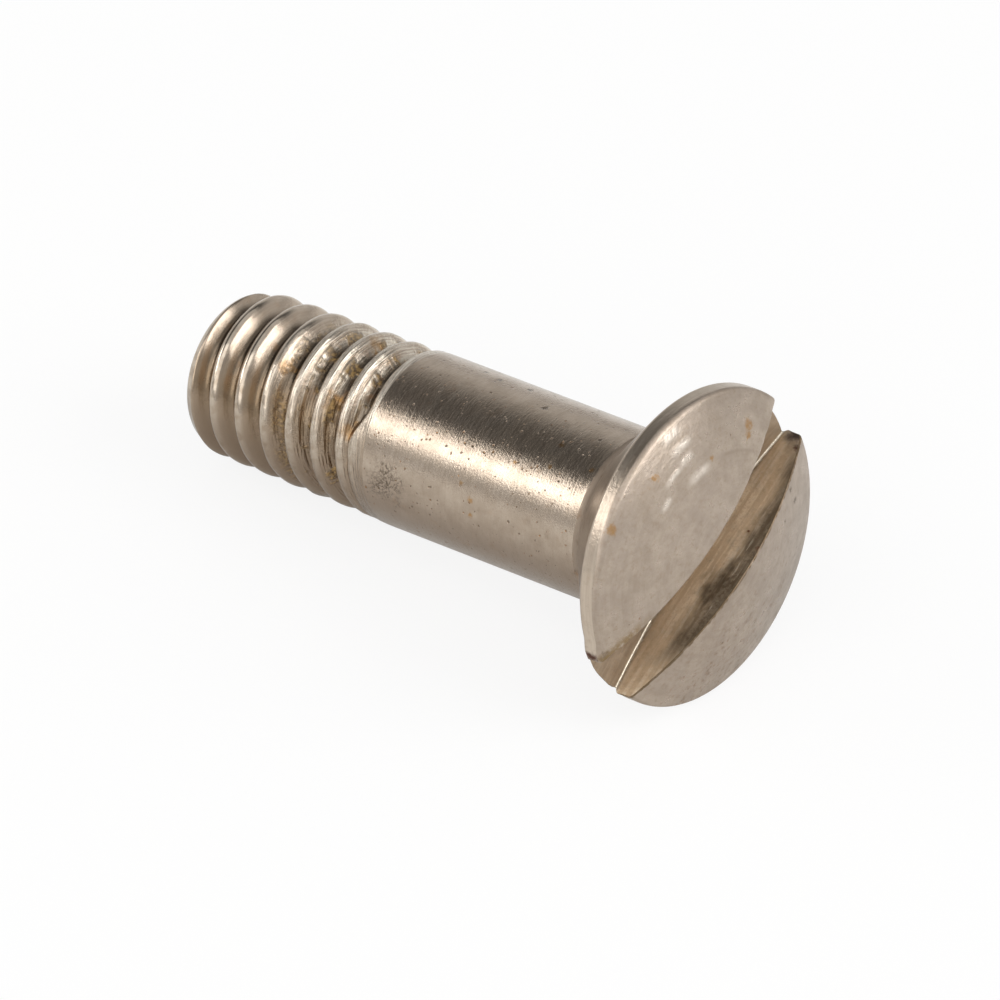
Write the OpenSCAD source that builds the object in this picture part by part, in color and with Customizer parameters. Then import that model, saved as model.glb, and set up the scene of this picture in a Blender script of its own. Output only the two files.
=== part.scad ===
// Slotted screw with a raised countersunk head, a plain shank and a short coarse thread.
// Lengths are in millimetres. The screw lies on its rim and its last thread, head towards +X.

/* [Head] */
// Diameter over the rim of the head
head_d = 10.14; // [8.5:0.02:14]
// Straight band around the rim
rim_h = 0.55; // [0.3:0.01:0.9]
// Small bevel on the rim's front edge
rim_bevel = 0.06; // [0.02:0.01:0.2]
// Rise of the dome above the rim
dome_h = 1.1; // [0.5:0.02:1.8]
// Height of the cone under the rim
cone_h = 2.05; // [1.2:0.05:4]
// Radius of the small round where the cone meets the shank
neck_r = 0.3; // [0.1:0.05:0.6]

/* [Slot] */
// Width of the screwdriver slot
slot_w = 2.1; // [0.8:0.05:2.6]
// Depth of the slot's floor below the rim's front edge, at the slot's ends
slot_end_depth = 0.64; // [0.2:0.02:1]
// Diameter of the round floor that the cutter left
slot_floor_d = 62; // [30:1:120]
// Turn of the slot from upright, clockwise when facing the head
slot_turn = 62; // [0:1:180]

/* [Shank] */
// Diameter of the plain shank
shank_d = 5.6; // [4.6:0.02:6.4]
// Length from the rim's front edge to the end of the thread's groove
shank_len = 11.9; // [5:0.1:30]

/* [Thread] */
// Rise of the thread in one turn
pitch = 1.058; // [0.8:0.002:1.3]
// Length from the end of the groove to the screw's end
thread_len = 7.05; // [3:0.05:14]
// Diameter over the worn crests at the screw's end
crest_end_d = 5.4; // [4.4:0.02:6.4]
// Depth of the groove
thread_depth = 0.58; // [0.3:0.02:0.7]
// Diameter of the flat end
end_d = 4.9; // [3.2:0.05:5.2]
// Length of the bevel on the end
end_bevel = 0.5; // [0.2:0.05:1.2]
// Angle over which the groove fades out at the shank
runout_angle = 28; // [10:1:90]
// Turn of the groove's end from upright, clockwise when facing the head
runout_turn = 297; // [0:1:359]

/* [Hidden] */
steel = [0.72, 0.68, 0.62];
facets = 48;

head_r = head_d / 2;
shank_r = shank_d / 2;
crest_end_r = min(crest_end_d, shank_d - 0.02) / 2;
end_r = min(end_d / 2, crest_end_r - 0.05);
screw_len = shank_len + thread_len;

// The dome is part of a ball that passes through the rim's front edge.
dome_r = (head_r * head_r + dome_h * dome_h) / (2 * dome_h);
dome_mid = dome_h - dome_r;

// The neck's round touches the cone and the shank.
cone_turn = atan((head_r - shank_r) / cone_h);
neck_run = neck_r * tan(cone_turn / 2);
neck_at = rim_h + cone_h + neck_run;

// The floor of the slot is part of a wide circle that is deepest on the screw's axis.
slot_floor_r = slot_floor_d / 2;
slot_floor_drop = slot_floor_r - sqrt(slot_floor_r * slot_floor_r - head_r * head_r);
slot_floor_mid = slot_floor_r - slot_end_depth - slot_floor_drop;

// The threaded part starts a little inside the shank's end.
thread_top = -shank_len + 0.55 * pitch;
shank_end = thread_top - 0.05;
crest_top_r = shank_r - 0.008;

// One turn of the groove: distance from its middle in pitches, and share of its depth.
groove = [[0, 1], [0.07, 1], [0.33, 0.17], [0.4, 0.05], [0.5, 0]];
steps = [0.4, 0.33, 0.07, -0.07, -0.33, -0.4];
turns = ceil((thread_top + screw_len) / pitch) + 3;
rows = turns * len(steps);

// The screw rests on the back edge of its rim and on its last full crest.
rest_at = screw_len - end_bevel - 0.12;
tilt = atan((head_r - crest_r(-rest_at)) / (rest_at - rim_h));
lift = head_r * cos(tilt) + rim_h * sin(tilt);
front_x = dome_mid * cos(tilt) + dome_r;
back_x = -screw_len * cos(tilt) - end_r * sin(tilt);

// Radius over the crests at height z, and the bevelled end's limit.
function crest_r(z) =
    crest_top_r + (crest_end_r - crest_top_r) * (thread_top - z) / (thread_top + screw_len);
function bevel_r(z) = end_r + (z + screw_len) * (crest_end_r - end_r) / end_bevel;

// Height of the groove's middle at an angle before its end, and how deep it has become there.
function groove_z(back) = -shank_len - pitch * back / 360;
function fade(along) = min(1, max(0, along / runout_angle));

// Radius of the thread's surface at an angle and a height.
function thread_r(back, z) =
    let (u = (z - groove_z(back)) / pitch)
    let (m = round(u))
    let (cut = thread_depth * fade(back - 360 * m) * lookup(abs(u - m), groove))
    min(crest_r(z) - cut, bevel_r(z));

// One point of the thread: column i counts facets back from the groove's end, row j runs down.
function thread_z(i, j) =
    let (m = floor(j / len(steps)) - 2)
    let (z = groove_z(360 * i / facets) - m * pitch + steps[j % len(steps)] * pitch)
    min(thread_top, max(-screw_len, z));
function thread_point(i, j) =
    let (back = 360 * i / facets)
    let (z = thread_z(i, j))
    let (r = thread_r(back, z))
    [r * cos(-back), r * sin(-back), z];

// Point numbers: after a full turn back, the rows carry on one turn further down.
function point_at(i, j) =
    i < facets ? i * rows + j : min(j + len(steps), rows - 1);

module thread_piece() {
    points = [for (i = [0:facets - 1]) for (j = [0:rows - 1]) thread_point(i, j)];
    top = len(points);
    ends = [[0, 0, thread_top], [0, 0, -screw_len]];
    upper = [for (i = [0:facets - 1]) for (j = [0:rows - 2])
        [point_at(i, j), point_at(i, j + 1), point_at(i + 1, j)]];
    lower = [for (i = [0:facets - 1]) for (j = [0:rows - 2])
        [point_at(i + 1, j), point_at(i, j + 1), point_at(i + 1, j + 1)]];
    lids = [for (i = [0:facets - 1]) each [
        [top, point_at(i, 0), point_at(i + 1, 0)],
        [top + 1, point_at(i + 1, rows - 1), point_at(i, rows - 1)]]];
    polyhedron(concat(points, ends), concat(upper, lower, lids), convexity = 12);
}

// Half section of the head and the shank: radius across, height up.
module half_section() {
    intersection() {
        union() {
            translate([0, dome_mid]) circle(r = dome_r, $fn = 360);
            translate([0, -screw_len]) square([head_d, screw_len - rim_h / 2]);
        }
        polygon(concat(
            [[0, shank_end], [0, dome_h + 3], [head_r - 3, 3 - rim_bevel]],
            [[head_r, -rim_bevel], [head_r, -rim_h]],
            [for (k = [0:6]) let (a = cone_turn * (1 - k / 6))
                [shank_r + neck_r * (1 - cos(a)), -neck_at + neck_r * sin(a)]],
            [[shank_r, shank_end]]
        ));
    }
}

module slot_cut() {
    translate([0, 0, slot_floor_mid])
        rotate([90, 0, 0])
            cylinder(r = slot_floor_r, h = slot_w, center = true, $fn = 360);
}

module screw() {
    color(steel)
        translate([-(front_x + back_x) / 2, 0, lift])
            rotate([0, 90 - tilt, 0]) {
                difference() {
                    rotate_extrude($fn = 180) half_section();
                    rotate([0, 0, 180 - slot_turn]) slot_cut();
                }
                rotate([0, 0, 180 - runout_turn]) thread_piece();
            }
}

screw();
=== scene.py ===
import math

import bmesh
import bpy
import numpy as np
from mathutils import Matrix, Vector, noise


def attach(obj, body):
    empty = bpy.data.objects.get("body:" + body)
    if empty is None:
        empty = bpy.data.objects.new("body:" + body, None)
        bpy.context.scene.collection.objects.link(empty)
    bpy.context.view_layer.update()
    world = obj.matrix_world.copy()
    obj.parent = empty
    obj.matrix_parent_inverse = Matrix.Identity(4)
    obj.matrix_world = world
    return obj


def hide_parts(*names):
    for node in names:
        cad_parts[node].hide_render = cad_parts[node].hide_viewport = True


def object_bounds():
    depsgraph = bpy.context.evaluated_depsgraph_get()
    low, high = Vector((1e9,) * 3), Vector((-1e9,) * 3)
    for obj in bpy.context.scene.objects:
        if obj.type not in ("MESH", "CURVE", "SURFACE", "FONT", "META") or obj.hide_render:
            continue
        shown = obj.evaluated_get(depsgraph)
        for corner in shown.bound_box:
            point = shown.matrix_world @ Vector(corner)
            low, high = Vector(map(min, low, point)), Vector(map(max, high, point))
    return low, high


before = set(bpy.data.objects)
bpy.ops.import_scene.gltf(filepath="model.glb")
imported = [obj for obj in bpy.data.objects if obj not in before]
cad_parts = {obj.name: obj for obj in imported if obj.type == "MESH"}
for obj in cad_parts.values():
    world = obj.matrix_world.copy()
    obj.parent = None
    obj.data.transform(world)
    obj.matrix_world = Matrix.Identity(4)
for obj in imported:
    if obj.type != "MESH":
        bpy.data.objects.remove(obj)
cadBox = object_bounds()
print("frame loaded, screw box in mm:", [round(1000 * v, 3) for c in cadBox for v in c])

# the screw is turned on Z with its slot along X, then laid on its rim and its thread

headSize = {  # mm, heights from the rim's front edge
    "rimRadius": 5.066,
    "domeRise": 1.098,
    "frontRound": 0.2,  # round on the rim's front edge
    "landHeight": 0.55,
    "backRound": 0.14,
    "coneHeight": 2.05,
    "neckRound": 0.5,
    "burrReach": 0.12,  # metal pushed out at the slot's low end
}
slotSize = {
    "width": 2.1,
    "endDepth": 0.64,
    "sawRadius": 31.0,
    "edgeRound": 0.045,
    "cornerRound": 0.06,
    "nicks": 0.055,  # dents along the edges
    "edgeSoil": {1: 0.1, -1: 0.45},  # dirt on the two long edges
}
shankSize = {
    "radius": 2.8,
    "length": 11.9,  # rim to the end of the groove
}
threadSize = {
    "pitch": 1.058,
    "length": 7.05,
    "endCrest": 2.694,  # crest radius at the tip
    "depth": 0.46,
    "endRadius": 2.45,
    "endBevel": 0.5,
    "grooveStop": 125.0,  # degrees from the slot
    "crestWear": 0.022,
    "tornRidges": 0.02,  # ridges of torn metal near the shank
    "crustHeight": 0.03,
    "lipHeight": 0.05,  # torn lip where the groove stops
    # heights between which the worn tip, and the torn turns by the shank, come in
    "tipZone": (-14.5, -17.0),
    "tornZone": (-16.4, -14.0),
    # part of the pitch from the groove's middle, share of its depth
    "profile": [
        (0, 1), (0.05, 0.99), (0.12, 0.9), (0.2, 0.66), (0.3, 0.33),
        (0.37, 0.13), (0.41, 0.045), (0.45, 0.012), (0.5, 0),
    ],
}
layDown = {  # how the screw comes to rest
    "tilt": 7.5689,
    "lift": 5.09827,
    "along": 8.955297,
    "slotTurn": 118.0,
}
meshCount = {"arc": 104, "gap": 16, "dome": 26, "edge": 5, "shank": 30, "perPitch": 30}


def smoothStep(low, high, value):
    t = np.clip((np.asarray(value, float) - low) / (high - low), 0, 1)
    return t * t * (3 - 2 * t)


class TurnedMesh:
    # collects grids of points; edges that meet are welded at the end
    def __init__(self):
        self.points, self.faces, self.finish = [], [], []
        self.rub, self.soil, self.crust = [], [], []
        self.count = 0

    def addPoints(self, points, rub=0.0, soil=0.0, crust=0.0):
        points = np.asarray(points, float)
        shape = points.shape[:-1]
        self.points.append(points.reshape(-1, 3))
        self.rub.append(np.broadcast_to(rub, shape).reshape(-1))
        self.soil.append(np.broadcast_to(soil, shape).reshape(-1))
        self.crust.append(np.broadcast_to(crust, shape).reshape(-1))
        index = np.arange(int(np.prod(shape))).reshape(shape) + self.count
        self.count += index.size
        return index

    def addQuads(self, a, b, c, d, finish):
        quads = np.stack([a, b, c, d], axis=-1).reshape(-1, 4)
        self.faces.append(quads)
        self.finish.append(np.full(len(quads), finish))

    def addGrid(self, points, finish, rub=0.0, soil=0.0, wrap=False):
        index = self.addPoints(points, rub, soil)
        if wrap:
            index = np.concatenate([index, index[:, :1]], axis=1)
        self.addQuads(index[:-1, :-1], index[1:, :-1], index[1:, 1:], index[:-1, 1:], finish)


finishOf = {"face": 0, "slot": 1, "rim": 2, "shank": 3, "thread": 4, "tip": 5}

# heights and radii that follow from the sizes
rimR, shankR = headSize["rimRadius"], shankSize["radius"]
domeR = (rimR**2 + headSize["domeRise"] ** 2) / (2 * headSize["domeRise"])
domeMid = headSize["domeRise"] - domeR
sawR, halfSlot = slotSize["sawRadius"], slotSize["width"] / 2
sawMid = sawR - slotSize["endDepth"] - (sawR - math.sqrt(sawR**2 - rimR**2))
screwLength = shankSize["length"] + threadSize["length"]
threadTop = -shankSize["length"] + 0.55 * threadSize["pitch"]


def headProfile():
    # rows of radius, height and outward normal from the dome's edge to the neck
    land, cone, neck = headSize["landHeight"], headSize["coneHeight"], headSize["neckRound"]
    front, back = headSize["frontRound"], headSize["backRound"]
    rows = []
    midR = rimR - front
    midZ = domeMid + math.sqrt((domeR - front) ** 2 - midR**2)
    for a in np.linspace(math.asin(midR / (domeR - front)), math.pi / 2, 7):
        rows.append((midR + front * math.sin(a), midZ + front * math.cos(a), math.sin(a), math.cos(a)))
    coneTurn = math.atan((rimR - shankR) / cone)
    nr, nz = math.cos(coneTurn), -math.sin(coneTurn)
    backZ = -land + back * (1 - nr) / -nz
    for t in (0.04, 0.2, 0.4, 0.6, 0.8, 0.96):
        rows.append((rimR, midZ + (backZ - midZ) * t, 1.0, 0.0))
    for a in np.linspace(math.pi / 2, math.pi / 2 + coneTurn, 5):
        rows.append((rimR - back + back * math.sin(a), backZ + back * math.cos(a), math.sin(a), math.cos(a)))
    # the cone, then the round into the shank
    neckZ = -(land + cone + neck * math.tan(coneTurn / 2))
    r1, z1 = shankR + neck * (1 - math.cos(coneTurn)), neckZ + neck * math.sin(coneTurn)
    r0, z0 = rows[-1][:2]
    cones = [(r0 + (r1 - r0) * t, z0 + (z1 - z0) * t, nr, nz) for t in np.linspace(0, 1, 17)]
    necks = []
    for a in np.linspace(coneTurn, 0, 8)[1:]:
        necks.append((shankR + neck * (1 - math.cos(a)), neckZ + neck * math.sin(a), math.cos(a), -math.sin(a)))
    return rows, cones, necks, neckZ


upperRows, coneRows, neckRows, neckZ = headProfile()


def coneRadius(z):
    (r0, z0), (r1, z1) = coneRows[0][:2], coneRows[-1][:2]
    return r0 + (r1 - r0) * (z - z0) / (z1 - z0)


def sawFloor(u, w):
    over = np.clip(np.abs(w) - (halfSlot - slotSize["cornerRound"]), 0, slotSize["cornerRound"])
    fillet = slotSize["cornerRound"] - np.sqrt(slotSize["cornerRound"] ** 2 - over**2)
    return sawMid - np.sqrt(sawR**2 - u**2) + fillet


def slotEnd(w):
    # where the slot's floor runs out through the cone
    u = 4.9
    for step in range(40):
        u = math.sqrt(coneRadius(float(sawFloor(u, w))) ** 2 - w * w)
    return u


def domeHeight(u, w):
    return domeMid + np.sqrt(domeR**2 - u**2 - w**2)


def buildHead(mesh):
    nArc, nGap = meshCount["arc"], meshCount["gap"]
    # across the slot, closer together in its corners
    closer = (0, 0.21, 0.43, 0.62, 0.81, 0.93, 0.966, 0.988, 1)
    ease = np.interp(np.linspace(0, 1, nGap // 2 + 1), np.linspace(0, 1, len(closer)), closer)
    across = halfSlot * np.concatenate([-ease[:0:-1], ease])
    ends = np.array([slotEnd(w) for w in across])
    cornerZ = float(sawFloor(ends[0], halfSlot))
    rows = [r for r in upperRows if r[1] > cornerZ + 0.02]
    for t in (0.5, 1.0):
        z = rows[-1][1] + (cornerZ - rows[-1][1]) * t
        rows.append((float(coneRadius(z)), z, coneRows[0][2], coneRows[0][3]))
    rows = np.array(rows)
    # the slot's edge round gets smaller towards the floor
    edge = slotSize["edgeRound"] * smoothStep(0, 0.3, rows[:, 1] - cornerZ)
    wEdge = halfSlot + edge
    start = np.arcsin(wEdge / rows[:, 0])
    step = np.linspace(0, 1, nArc + 1)
    angle = start[:, None] + (math.pi - 2 * start[:, None]) * step[None, :]
    r, z = rows[:, 0][:, None], rows[:, 1][:, None]
    skirt = np.stack([r * np.cos(angle), r * np.sin(angle), z + 0 * angle], axis=-1)

    # dome: lines across the screw from the slot's edge to the rim
    uLine = rows[0, 0] * np.cos(angle[0])
    wRim = rows[0, 0] * np.sin(angle[0])
    t = np.linspace(0, 1, meshCount["dome"] + 1)
    t = 0.5 * t + 0.5 * (0.5 - 0.5 * np.cos(math.pi * t))
    wDome = wEdge[0] + (wRim[None, :] - wEdge[0]) * t[:, None]
    uDome = np.broadcast_to(uLine, wDome.shape)
    dome = np.stack([uDome, wDome, domeHeight(uDome, wDome)], axis=-1)

    # round along the slot's edge: up one end, over the dome, down the other end
    path, normal, size = [], [], []
    for k in range(len(rows) - 1, -1, -1):
        path.append(skirt[k, 0])
        normal.append([rows[k, 2] * math.cos(angle[k, 0]), rows[k, 2] * math.sin(angle[k, 0]), rows[k, 3]])
        size.append(edge[k])
    for j in range(1, nArc):
        p = dome[0, j]
        path.append(p)
        normal.append((p - [0, 0, domeMid]) / domeR)
        size.append(edge[0])
    for k in range(len(rows)):
        path.append(skirt[k, -1])
        normal.append([rows[k, 2] * math.cos(angle[k, -1]), rows[k, 2] * math.sin(angle[k, -1]), rows[k, 3]])
        size.append(edge[k])
    path, normal, size = np.array(path), np.array(normal), np.array(size)[:, None]
    inward = np.array([0.0, -1.0, 0.0])
    side = inward - normal * (normal @ inward)[:, None]
    side /= np.linalg.norm(side, axis=1)[:, None]
    turn = np.arccos(normal @ inward)[:, None]
    strip = []
    for t in np.linspace(0, 1, meshCount["edge"] + 1):
        strip.append(path - size * normal + size * (normal * np.cos(turn * t) + side * np.sin(turn * t)))
    strip = np.array(strip)

    # slot wall between the round, the two ends and the floor
    n = len(rows)
    sideA = strip[-1, n - 1::-1]
    sideB = strip[-1, -n:]
    top = strip[-1, n - 1:n + nArc]
    s = (top[0, 0] - top[:, 0]) / (top[0, 0] - top[-1, 0])
    tA = (sideA[0, 2] - sideA[:, 2]) / (sideA[0, 2] - sideA[-1, 2])
    uLow = sideA[-1, 0] + (sideB[-1, 0] - sideA[-1, 0]) * s
    low = np.stack([uLow, np.full_like(uLow, halfSlot), sawFloor(uLow, halfSlot)], axis=-1)
    low[0], low[-1] = sideA[-1], sideB[-1]
    sAll, tAll = s[None, :, None], tA[:, None, None]
    wall = (1 - tAll) * top[None] + tAll * low[None] + (1 - sAll) * sideA[:, None] + sAll * sideB[:, None]
    wall -= (1 - sAll) * ((1 - tAll) * top[0] + tAll * low[0]) + sAll * ((1 - tAll) * top[-1] + tAll * low[-1])
    soilWall = np.broadcast_to(smoothStep(1.0, 0.9, tA)[:, None], wall.shape[:2])

    for flip in (1, -1):
        mirror = np.array([1, flip, 1])
        mesh.addGrid(dome * mirror, finishOf["face"])
        mesh.addGrid(skirt[:6] * mirror, finishOf["face"], rub=0.7 * np.sin(np.linspace(0, math.pi, 6))[:, None])
        mesh.addGrid(skirt[5:] * mirror, finishOf["rim"])
        mesh.addGrid(strip * mirror, finishOf["face"], soil=slotSize["edgeSoil"][flip])
        mesh.addGrid(wall * mirror, finishOf["slot"], soil=soilWall)

    # slot floor
    u = (uLow / uLow[0])[:, None] * ends[None, :]
    w = np.broadcast_to(across, u.shape)
    corner = np.where(np.abs(across) > halfSlot - slotSize["cornerRound"] - 0.01, 1.0, 0.0)
    mesh.addGrid(np.stack([u, w, sawFloor(u, w)], axis=-1), finishOf["slot"], rub=corner[None, :])

    # full ring at the floor's level, where the lower head begins
    gap = np.stack([ends, across, sawFloor(ends, across)], axis=-1)
    flipU = np.array([-1, 1, 1])
    ring = np.concatenate([skirt[-1], (gap * flipU)[::-1][1:-1], (skirt[-1] * [1, -1, 1])[::-1], gap[1:-1]])
    return ring


def buildLowerHead(mesh, ring):
    columns = len(ring)
    even = np.radians(12.0 + 360.0 * np.arange(columns) / columns)
    first = np.unwrap(np.arctan2(ring[:, 1], ring[:, 0]))
    rows, soil = [ring], [0.0]
    lowest = ring[:, 2].min()
    cones = [c for c in coneRows if c[1] < lowest - 0.03]
    for k, (r, z, nr, nz) in enumerate(cones):
        a = first + (even - first) * min(1, (k + 1) / 8)
        rows.append(np.stack([r * np.cos(a), r * np.sin(a), np.full(columns, z)], axis=-1))
        soil.append(0.5 * (k / len(cones)) ** 2)
    mesh.addGrid(np.array(rows), finishOf["rim"], soil=np.array(soil)[:, None], wrap=True)

    def ringAt(r, z):
        return np.stack([r * np.cos(even), r * np.sin(even), np.full(columns, z)], axis=-1)

    necks = [ringAt(cones[-1][0], cones[-1][1])] + [ringAt(r, z) for r, z, nr, nz in neckRows]
    mesh.addGrid(np.array(necks), finishOf["rim"], soil=0.6, wrap=True)
    heights = np.linspace(neckZ, threadTop, meshCount["shank"] + 1)
    mesh.addGrid(np.array([ringAt(shankR, z) for z in heights]), finishOf["shank"], wrap=True)
    return even


def grainOver(points, scale, stretch=1.0):
    # smooth noise at each point; stretch makes it finer along the screw
    return np.array([noise.noise(Vector((x * scale, y * scale, z * scale * stretch))) for x, y, z in points])


def threadRadius(back, z):
    # radius at an angle behind the groove's end; also how deep in the groove it is, and the crust on it
    pitch = threadSize["pitch"]
    crest = shankR + (threadSize["endCrest"] - shankR) * (threadTop - z) / (threadTop + screwLength)
    u = (z + shankSize["length"]) / pitch + back / 360
    turn = np.round(u)
    along = back - 360 * turn
    # the groove draws in to a narrow scratch on its tip side, then dies out
    narrow = 1 - smoothStep(-8, 26, along)
    off = np.clip((u - turn + 0.24 * narrow) / (1 - 0.6 * narrow), -0.5, 0.5)
    sharp = np.interp(np.abs(off), *np.array(threadSize["profile"]).T)
    worn = (0.5 + 0.5 * np.cos(2 * math.pi * off)) ** 1.15
    nearTip = smoothStep(*threadSize["tipZone"], z)
    wave = sharp + (worn - sharp) * (0.3 + 0.55 * nearTip)
    share = wave * (0.3 * smoothStep(-100, -30, along) + 0.7 * smoothStep(-6, 20, along))
    angle = np.radians(threadSize["grooveStop"] - back)
    at = np.stack([2.7 * np.cos(angle), 2.7 * np.sin(angle), z], axis=-1).reshape(-1, 3)
    nearShank = smoothStep(*threadSize["tornZone"], z)
    wear = grainOver(at, 1.3).reshape(z.shape) + 0.6 * grainOver(at, 4.1).reshape(z.shape) * nearShank
    ridge = (grainOver(at, 0.9, 8.0) + 0.5 * grainOver(at, 2.0, 7.0)).reshape(z.shape)
    lumps = (grainOver(at, 1.7) + 0.5 * grainOver(at, 7.0)).reshape(z.shape)
    calm = smoothStep(0, 0.35, threadTop - z)
    r = crest - threadSize["depth"] * share + threadSize["crestWear"] * (wear - 0.75) * 0.6 * calm
    r += threadSize["tornRidges"] * (ridge - 0.5) * calm * nearShank
    crust = smoothStep(0.02, 0.32, lumps) * nearShank * smoothStep(0.2, 0.6, share)
    r += threadSize["crustHeight"] * crust * (0.5 + lumps)
    lip = np.exp(-(((along - 4) / 10) ** 2)) * np.exp(-(((u - turn - 0.3) / 0.2) ** 2)) * (turn == 0)
    r = r + threadSize["lipHeight"] * lip * wear
    up = z + screwLength
    bevel = threadSize["endRadius"] + up * (threadSize["endCrest"] - threadSize["endRadius"]) / threadSize["endBevel"]
    bevel = bevel - 0.05 * np.clip(1 - up / 0.1, 0, 1) ** 2
    r = np.minimum(np.minimum(r, crest), bevel)
    return r, np.clip(share, 0, 1), crust


def buildThread(mesh, even):
    columns, n = len(even), meshCount["perPitch"]
    pitch = threadSize["pitch"]
    backAll = (threadSize["grooveStop"] - np.degrees(even)) % 360
    order = np.argsort(backAll)
    back = backAll[order]
    rowCount = (math.ceil((threadTop + screwLength) / pitch) + 3) * n
    j = np.arange(rowCount)
    place = (0.5 - (j % n + 0.5) / n) - j // n + 2
    z = -shankSize["length"] - pitch * back[:, None] / 360 + place[None, :] * pitch
    z = np.clip(z, -screwLength, threadTop)
    r, share, crust = threadRadius(np.broadcast_to(back[:, None], z.shape), z)
    r = np.where(z >= threadTop - 1e-9, shankR, r)
    a = even[order][:, None]
    points = np.stack([r * np.cos(a), r * np.sin(a), z], axis=-1)
    rub = smoothStep(0.25, 0.02, share) * smoothStep(0.1, 0.5, threadTop - z)
    index = mesh.addPoints(points, rub=rub, soil=share, crust=crust)
    after = np.concatenate([index[1:], index[0][np.minimum(j + n, rowCount - 1)][None]])
    mesh.addQuads(index[:, :-1], index[:, 1:], after[:, 1:], after[:, :-1], finishOf["thread"])
    # flat tip, slightly dished, with the same outline
    outline = points[:, -1]
    rings = [outline]
    for f, dish in ((0.985, 0.0), (0.93, 0.004), (0.8, 0.012), (0.62, 0.02), (0.42, 0.026), (0.22, 0.03), (0.08, 0.03)):
        rings.append(outline * [f, f, 1] + [0, 0, dish])
    centre = np.zeros((1, columns, 3)) + [0, 0, -screwLength + 0.03]
    mesh.addGrid(np.concatenate([np.array(rings), centre]), finishOf["tip"], wrap=True)


def pushBurr(points):
    # both sides of the slot's low end stand out from the round rim
    u, w, z = points.T
    r = np.hypot(u, w)
    swing = np.degrees(np.arctan2(w, -u))
    push = smoothStep(-13.5, -8.0, swing) * smoothStep(21.0, 14.0, swing)
    push *= smoothStep(4.5, 5.0, r) * smoothStep(-1.0, -0.45, z)
    push *= headSize["burrReach"] * (1 + 0.2 * np.sin(np.radians(swing * 21)))
    scale = 1 + push / np.maximum(r, 1e-6)
    # small dents along the slot's two edges
    near = np.exp(-(((np.abs(w) - halfSlot) / 0.07) ** 2)) * smoothStep(-0.1, 0.1, z)
    dent = np.zeros(len(points))
    for k in np.flatnonzero(near > 0.02):
        dent[k] = max(0.0, noise.noise(Vector((u[k] * 1.9, math.copysign(4.0, w[k]), 2.5))) - 0.12)
    dent *= near * slotSize["nicks"]
    return np.stack([u * scale, w * scale + np.sign(w) * dent, z - 0.25 * push - 0.6 * dent], axis=-1)


def buildScrew():
    mesh = TurnedMesh()
    ring = buildHead(mesh)
    even = buildLowerHead(mesh, ring)
    buildThread(mesh, even)
    turned = pushBurr(np.concatenate(mesh.points))
    lay = (
        Matrix.Translation((layDown["along"], 0, layDown["lift"]))
        @ Matrix.Rotation(math.radians(90 - layDown["tilt"]), 4, "Y")
        @ Matrix.Rotation(math.radians(layDown["slotTurn"]), 4, "Z")
    )
    lay = np.array(lay)
    points = (turned @ lay[:3, :3].T + lay[:3, 3]) / 1000
    data = bpy.data.meshes.new("turnedScrew")
    data.from_pydata(points.tolist(), [], np.concatenate(mesh.faces).tolist())
    place = data.attributes.new("turned", "FLOAT_VECTOR", "POINT")  # mm, before it was laid down
    place.data.foreach_set("vector", turned.astype(np.float32).ravel())
    data.polygons.foreach_set("material_index", np.concatenate(mesh.finish).astype(np.int32))
    for name, values in (("rub", mesh.rub), ("soil", mesh.soil), ("crust", mesh.crust)):
        layer = data.attributes.new(name, "FLOAT", "POINT")
        layer.data.foreach_set("value", np.concatenate(values).astype(np.float32))
    work = bmesh.new()
    work.from_mesh(data)
    bmesh.ops.remove_doubles(work, verts=work.verts, dist=4e-7)
    bmesh.ops.dissolve_degenerate(work, edges=work.edges, dist=1e-8)
    bmesh.ops.recalc_face_normals(work, faces=work.faces)
    openEdges = sum(1 for e in work.edges if len(e.link_faces) != 2)
    work.to_mesh(data)
    work.free()
    data.shade_smooth()
    piece = bpy.data.objects.new("turned_screw", data)
    bpy.context.scene.collection.objects.link(piece)
    triangles = sum(len(p.vertices) - 2 for p in data.polygons)
    print("screw mesh:", triangles, "triangles,", openEdges, "open edges")
    return piece


screw = buildScrew()


def addNode(tree, kind, **values):
    node = tree.nodes.new(kind)
    for key, value in values.items():
        if hasattr(node, key):
            setattr(node, key, value)
    return node


def wire(tree, source, target):
    tree.links.new(source, target)


def feed(tree, socket, value):
    # numbers and tuples are set on the socket, outputs of other nodes are wired to it
    if isinstance(value, (int, float)):
        socket.default_value = value
    elif isinstance(value, tuple):
        socket.default_value = (*value, 1.0) if socket.type == "RGBA" else value
    else:
        wire(tree, value, socket)


def calc(tree, operation, *values):
    node = addNode(tree, "ShaderNodeMath", operation=operation)
    for socket, value in zip(node.inputs, values):
        feed(tree, socket, value)
    return node.outputs[0]


def vectorCalc(tree, operation, *values):
    node = addNode(tree, "ShaderNodeVectorMath", operation=operation)
    for socket, value in zip(node.inputs, values):
        feed(tree, socket, value)
    return node.outputs["Value" if operation in ("DISTANCE", "DOT_PRODUCT") else "Vector"]


def mul(tree, a, b):
    return calc(tree, "MULTIPLY", a, b)


def plus(tree, a, b):
    return calc(tree, "ADD", a, b)


def minus(tree, a, b):
    return calc(tree, "SUBTRACT", a, b)


def most(tree, a, b):
    return calc(tree, "MAXIMUM", a, b)


def mostOf(tree, masks):
    whole = masks[0]
    for mask in masks[1:]:
        whole = most(tree, whole, mask)
    return whole


def rangeOf(tree, value, low, high, toLow=0.0, toHigh=1.0):
    node = addNode(tree, "ShaderNodeMapRange", interpolation_type="SMOOTHSTEP")
    wire(tree, value, node.inputs["Value"])
    for name, number in (("From Min", low), ("From Max", high), ("To Min", toLow), ("To Max", toHigh)):
        feed(tree, node.inputs[name], number)
    return node.outputs["Result"]


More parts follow.
